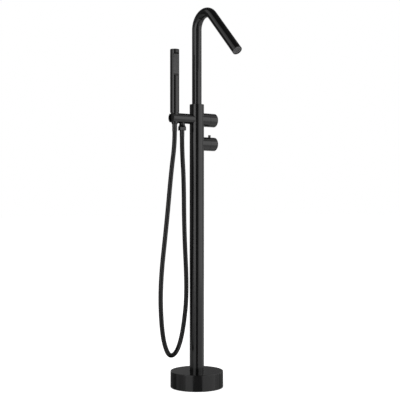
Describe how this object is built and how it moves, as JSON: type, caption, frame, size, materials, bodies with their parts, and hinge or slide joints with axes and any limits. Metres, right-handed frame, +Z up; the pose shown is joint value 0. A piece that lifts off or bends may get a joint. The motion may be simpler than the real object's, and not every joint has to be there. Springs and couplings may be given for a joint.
{
  "type": "floor standing bath filler",
  "caption": "Floor standing bath filler: column on a round base, swivel spout, flow and temperature controls on one side, and an arm holding a stick handset on a hose.",
  "frame": {"origin": "centre of the round base at the floor, which is also the centre of the floor bolt circle", "axes": "+Z up along the column, +X along the two control axes, -X along the handset arm, -Y to the front, where the spout points at rest"},
  "size_m": [0.2461, 0.2924, 1.1716],
  "materials": {
    "black_coat": "semi-matte black powder coat",
    "black_plastic": "moulded black plastic, fine matte",
    "hose_cover": "smooth black hose cover, satin",
    "black_silicone": "soft black silicone",
    "seal_rubber": "black sealing rubber",
    "bare_brass": "turned brass, not coated",
    "copper_pipe": "drawn copper pipe",
    "stainless": "stainless steel, machined",
    "pale_polymer": "natural moulded acetal",
    "aerator_grey": "light grey moulded plastic mesh"
  },
  "bodies": {
    "stand": {"base_cover": "black_coat", "base_seal": "seal_rubber", "floor_flange": "stainless", "flange_seal": "seal_rubber", "column_tube": "black_coat", "column_screws": "stainless", "column_cap": "black_coat", "swivel_bush": "pale_polymer", "spout_screw": "stainless", "hot_supply_pipe": "copper_pipe", "cold_supply_pipe": "copper_pipe", "valve_body": "bare_brass", "thermostat_cartridge": "pale_polymer", "flow_cartridge": "pale_polymer", "cartridge_nuts": "bare_brass", "stop_ring": "pale_polymer", "upper_sleeve": "black_coat", "lower_sleeve": "black_coat", "arm_nipple": "bare_brass", "handset_arm": "black_coat", "holder_bush": "black_plastic", "outlet_nipple": "black_coat", "check_valve": "pale_polymer", "hose_washer": "seal_rubber", "hose_hex_nut": "black_coat", "outlet_ferrule": "black_coat", "hose": "hose_cover"},
    "spout": {"spout_tube": "black_coat", "spout_nipple": "bare_brass", "spout_orings": "seal_rubber", "aerator_housing": "black_coat", "aerator_insert": "aerator_grey"},
    "flow_control": {"flow_handle": "black_coat", "flow_spindle": "bare_brass", "flow_handle_screw": "stainless"},
    "temperature_control": {"temperature_handle": "black_coat", "temperature_spindle": "bare_brass", "temperature_handle_screw": "stainless", "button_spring": "stainless"},
    "override_button": {"safety_button": "black_coat"},
    "hose_end": {"handset_ferrule": "black_coat"},
    "handset": {"handset_body": "black_coat", "handset_cap": "black_coat", "spray_plate": "black_plastic", "nozzle_mat": "black_silicone", "water_tube": "pale_polymer", "handset_nipple": "bare_brass", "hose_cone_nut": "black_coat", "filter_washer": "pale_polymer"}
  },
  "joints": [
    {"name": "spout_swivel", "type": "hinge", "parent": "stand", "child": "spout", "pos_m": [0, 0, 0.87], "axis": [0, 0, 1], "continuous": true},
    {"name": "flow_turn", "type": "hinge", "parent": "stand", "child": "flow_control", "pos_m": [0.05, 0, 0.831], "axis": [1, 0, 0], "range_deg": [-90, 90]},
    {"name": "temperature_turn", "type": "hinge", "parent": "stand", "child": "temperature_control", "pos_m": [0.05, 0, 0.756], "axis": [1, 0, 0], "range_deg": [-150, 40]},
    {"name": "safety_press", "type": "slide", "parent": "temperature_control", "child": "override_button", "axis": [0, 0, -1], "range_m": [0, 0.0025], "stiffness_N_per_m": 300, "springref_m": -0.003, "deforming": ["button_spring"]},
    {"name": "handset_lift", "type": "slide", "parent": "stand", "child": "hose_end", "axis": [0, 0, 1], "range_m": [0, 0.058]},
    {"name": "handset_turn", "type": "hinge", "parent": "hose_end", "child": "handset", "pos_m": [-0.0843, 0, 0.83], "axis": [0, 0, 1], "continuous": true}
  ]
}
